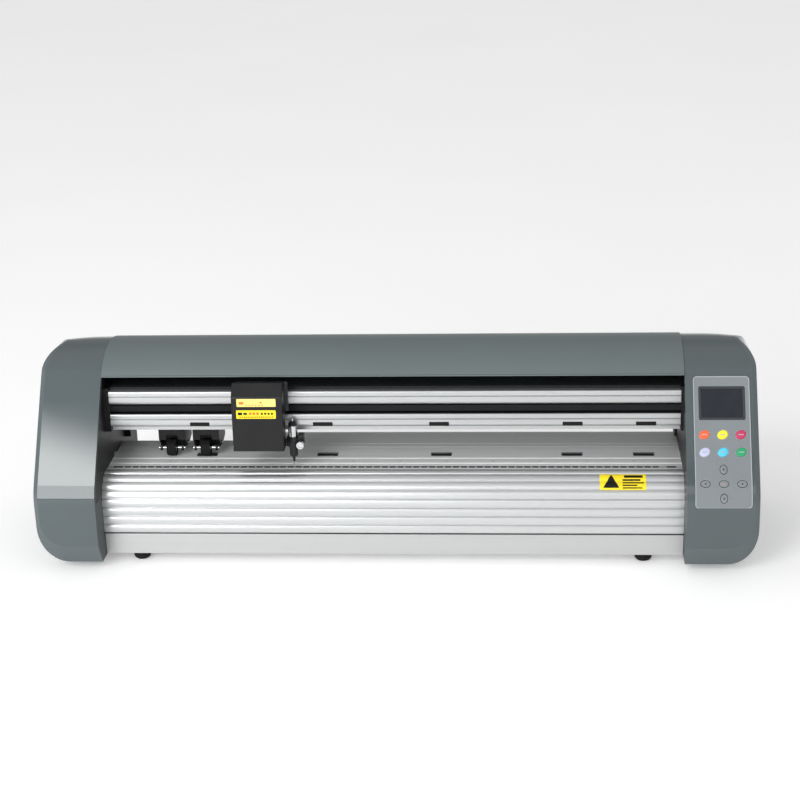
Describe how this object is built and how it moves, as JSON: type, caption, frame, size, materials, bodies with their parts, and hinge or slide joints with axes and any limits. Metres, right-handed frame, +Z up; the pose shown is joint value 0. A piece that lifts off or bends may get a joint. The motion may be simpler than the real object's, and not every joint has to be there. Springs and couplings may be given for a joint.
{
  "type": "vinyl cutter",
  "caption": "Desktop vinyl cutter with a belt-driven blade carriage on a guide beam, pinch rollers over a grit shaft, ribbed platen and moulded end covers with a keypad.",
  "frame": {"origin": "on the table, below the middle of the machine", "axes": "+X to the operator's right along the beam, -Y towards the operator, +Z up"},
  "size_m": [0.9, 0.2565, 0.261],
  "materials": {
    "shell_grey": "gloss moulded plastic",
    "hood_grey": "satin grey paint",
    "black_steel": "black paint",
    "aluminium": "satin extruded",
    "steel": "bright turned steel",
    "black_plastic": "fine moulded texture",
    "rubber": "matte",
    "belt": "matte toothed belt",
    "panel_grey": "satin membrane",
    "screen": "clear window over a dark display",
    "board_green": "solder resist",
    "zinc": "zinc plated",
    "key_red": "satin membrane",
    "key_yellow": "satin membrane",
    "key_crimson": "satin membrane",
    "key_lavender": "satin membrane",
    "key_cyan": "satin membrane",
    "key_green": "satin membrane",
    "key_grey": "satin membrane"
  },
  "bodies": {
    "frame": {"left_cover": "shell_grey", "right_cover": "shell_grey", "top_hood": "hood_grey", "left_side_plate": "black_steel", "right_side_plate": "black_steel", "platen": "aluminium", "cutting_strip": "rubber", "base_tray": "aluminium", "rear_apron": "aluminium", "guide_beam": "aluminium", "foot_front_left": "rubber", "foot_front_right": "rubber", "foot_rear_left": "rubber", "foot_rear_right": "rubber", "feed_belt": "belt", "feed_motor": "black_steel", "left_shaft_bearing": "steel", "right_shaft_bearing": "steel", "carriage_belt": "belt", "carriage_motor": "black_steel", "control_panel": "panel_grey", "display_screen": "screen", "power_inlet": "black_plastic", "data_port": "zinc", "main_board": "board_green", "power_supply": "zinc"},
    "feed_shaft": {"grit_shaft": "steel", "feed_shaft_pulley": "aluminium"},
    "feed_motor_rotor": {"feed_motor_pulley": "aluminium"},
    "drive_rotor": {"carriage_motor_pulley": "aluminium"},
    "idler_rotor": {"carriage_idler_pulley": "aluminium"},
    "carriage": {"carriage_plate": "zinc", "carriage_cover": "black_plastic", "tool_lift_coil": "zinc"},
    "upper_wheel": {"carriage_upper_wheel": "black_plastic"},
    "lower_wheel": {"carriage_lower_wheel": "black_plastic"},
    "tool_lift": {"tool_clamp": "black_plastic", "blade_holder": "steel"},
    "blade": {"swivel_blade": "steel"},
    "clamp_screw": {"clamp_thumb_screw": "steel"},
    "rocker": {"power_switch": "black_plastic"},
    "pinch_1_mount": {"pinch_1_bracket": "black_steel"},
    "pinch_1_swing": {"pinch_1_arm": "black_steel"},
    "pinch_1_handle": {"pinch_1_lever": "black_plastic"},
    "pinch_1_roller": {"pinch_1_wheel": "rubber"},
    "pinch_2_mount": {"pinch_2_bracket": "black_steel"},
    "pinch_2_swing": {"pinch_2_arm": "black_steel"},
    "pinch_2_handle": {"pinch_2_lever": "black_plastic"},
    "pinch_2_roller": {"pinch_2_wheel": "rubber"},
    "button_cut": {"key_cut": "key_red"},
    "button_pause": {"key_pause": "key_yellow"},
    "button_origin": {"key_origin": "key_crimson"},
    "button_speed": {"key_speed": "key_lavender"},
    "button_test": {"key_test": "key_cyan"},
    "button_menu": {"key_menu": "key_green"},
    "button_up": {"key_up": "key_grey"},
    "button_left": {"key_left": "key_grey"},
    "button_enter": {"key_enter": "key_grey"},
    "button_right": {"key_right": "key_grey"},
    "button_down": {"key_down": "key_grey"}
  },
  "joints": [
    {"name": "carriage_travel", "type": "slide", "parent": "frame", "child": "carriage", "axis": [1, 0, 0], "range_m": [-0.163, 0.455]},
    {"name": "upper_wheel_spin", "type": "hinge", "parent": "carriage", "child": "upper_wheel", "pos_m": [-0.1685, -0.037, 0.2188], "axis": [0, 1, 0], "continuous": true},
    {"name": "lower_wheel_spin", "type": "hinge", "parent": "carriage", "child": "lower_wheel", "pos_m": [-0.1685, -0.037, 0.1582], "axis": [0, 1, 0], "continuous": true},
    {"name": "drive_pulley_spin", "type": "hinge", "parent": "frame", "child": "drive_rotor", "pos_m": [0.392, -0.026, 0.18825], "axis": [0, 0, 1], "continuous": true},
    {"name": "idler_pulley_spin", "type": "hinge", "parent": "frame", "child": "idler_rotor", "pos_m": [-0.396, -0.026, 0.18825], "axis": [0, 0, 1], "continuous": true},
    {"name": "tool_lower", "type": "slide", "parent": "carriage", "child": "tool_lift", "axis": [0, 0, -1], "range_m": [0, 0.0036]},
    {"name": "blade_swivel", "type": "hinge", "parent": "tool_lift", "child": "blade", "pos_m": [-0.1285, -0.047, 0.118], "axis": [0, 0, 1], "continuous": true},
    {"name": "clamp_screw_turn", "type": "hinge", "parent": "tool_lift", "child": "clamp_screw", "pos_m": [-0.1185, -0.055, 0.147], "axis": [0, 1, 0], "range_deg": [0, 720]},
    {"name": "feed_shaft_spin", "type": "hinge", "parent": "frame", "child": "feed_shaft", "pos_m": [0, -0.003, 0.1058], "axis": [1, 0, 0], "continuous": true},
    {"name": "feed_motor_spin", "type": "hinge", "parent": "frame", "child": "feed_motor_rotor", "pos_m": [-0.3835, 0.046, 0.062], "axis": [1, 0, 0], "continuous": true},
    {"name": "pinch_1_slide", "type": "slide", "parent": "frame", "child": "pinch_1_mount", "axis": [1, 0, 0], "range_m": [-0.047, 0.001]},
    {"name": "pinch_1_arm_lift", "type": "hinge", "parent": "pinch_1_mount", "child": "pinch_1_swing", "pos_m": [-0.293, 0.012, 0.1248], "axis": [-1, 0, 0], "range_deg": [0, 12]},
    {"name": "pinch_1_lever_turn", "type": "hinge", "parent": "pinch_1_mount", "child": "pinch_1_handle", "pos_m": [-0.293, 0.031, 0.15], "axis": [-1, 0, 0], "range_deg": [0, 36]},
    {"name": "pinch_1_wheel_spin", "type": "hinge", "parent": "pinch_1_swing", "child": "pinch_1_roller", "pos_m": [-0.293, -0.006, 0.1238], "axis": [1, 0, 0], "continuous": true},
    {"name": "pinch_2_slide", "type": "slide", "parent": "frame", "child": "pinch_2_mount", "axis": [1, 0, 0], "range_m": [-0.001, 0.575]},
    {"name": "pinch_2_arm_lift", "type": "hinge", "parent": "pinch_2_mount", "child": "pinch_2_swing", "pos_m": [-0.2485, 0.012, 0.1248], "axis": [-1, 0, 0], "range_deg": [0, 12]},
    {"name": "pinch_2_lever_turn", "type": "hinge", "parent": "pinch_2_mount", "child": "pinch_2_handle", "pos_m": [-0.2485, 0.031, 0.15], "axis": [-1, 0, 0], "range_deg": [0, 36]},
    {"name": "pinch_2_wheel_spin", "type": "hinge", "parent": "pinch_2_swing", "child": "pinch_2_roller", "pos_m": [-0.2485, -0.006, 0.1238], "axis": [1, 0, 0], "continuous": true},
    {"name": "press_cut", "type": "slide", "parent": "frame", "child": "button_cut", "axis": [0, 0.8241, -0.5664], "range_m": [0, 0.0005], "stiffness_N_per_m": 400},
    {"name": "press_pause", "type": "slide", "parent": "frame", "child": "button_pause", "axis": [0, 0.8241, -0.5664], "range_m": [0, 0.0005], "stiffness_N_per_m": 400},
    {"name": "press_origin", "type": "slide", "parent": "frame", "child": "button_origin", "axis": [0, 0.8241, -0.5664], "range_m": [0, 0.0005], "stiffness_N_per_m": 400},
    {"name": "press_speed", "type": "slide", "parent": "frame", "child": "button_speed", "axis": [0, 0.8241, -0.5664], "range_m": [0, 0.0005], "stiffness_N_per_m": 400},
    {"name": "press_test", "type": "slide", "parent": "frame", "child": "button_test", "axis": [0, 0.8241, -0.5664], "range_m": [0, 0.0005], "stiffness_N_per_m": 400},
    {"name": "press_menu", "type": "slide", "parent": "frame", "child": "button_menu", "axis": [0, 0.8241, -0.5664], "range_m": [0, 0.0005], "stiffness_N_per_m": 400},
    {"name": "press_up", "type": "slide", "parent": "frame", "child": "button_up", "axis": [0, 0.8241, -0.5664], "range_m": [0, 0.0005], "stiffness_N_per_m": 400},
    {"name": "press_left", "type": "slide", "parent": "frame", "child": "button_left", "axis": [0, 0.8241, -0.5664], "range_m": [0, 0.0005], "stiffness_N_per_m": 400},
    {"name": "press_enter", "type": "slide", "parent": "frame", "child": "button_enter", "axis": [0, 0.8241, -0.5664], "range_m": [0, 0.0005], "stiffness_N_per_m": 400},
    {"name": "press_right", "type": "slide", "parent": "frame", "child": "button_right", "axis": [0, 0.8241, -0.5664], "range_m": [0, 0.0005], "stiffness_N_per_m": 400},
    {"name": "press_down", "type": "slide", "parent": "frame", "child": "button_down", "axis": [0, 0.9658, -0.2591], "range_m": [0, 0.0005], "stiffness_N_per_m": 400},
    {"name": "power_rocker", "type": "hinge", "parent": "frame", "child": "rocker", "pos_m": [0.4045, 0.123, 0.0915], "axis": [0, 0, 1], "range_deg": [0, 16]}
  ],
  "couplings": [
    {"joint": "upper_wheel_spin", "follows": "carriage_travel", "rad_per_m": 166.67},
    {"joint": "lower_wheel_spin", "follows": "carriage_travel", "rad_per_m": -166.67},
    {"joint": "drive_pulley_spin", "follows": "carriage_travel", "rad_per_m": 125},
    {"joint": "idler_pulley_spin", "follows": "carriage_travel", "rad_per_m": 125},
    {"joint": "feed_motor_spin", "follows": "feed_shaft_spin", "ratio": 2},
    {"joint": "pinch_1_lever_turn", "follows": "pinch_1_arm_lift", "ratio": 3},
    {"joint": "pinch_2_lever_turn", "follows": "pinch_2_arm_lift", "ratio": 3}
  ]
}
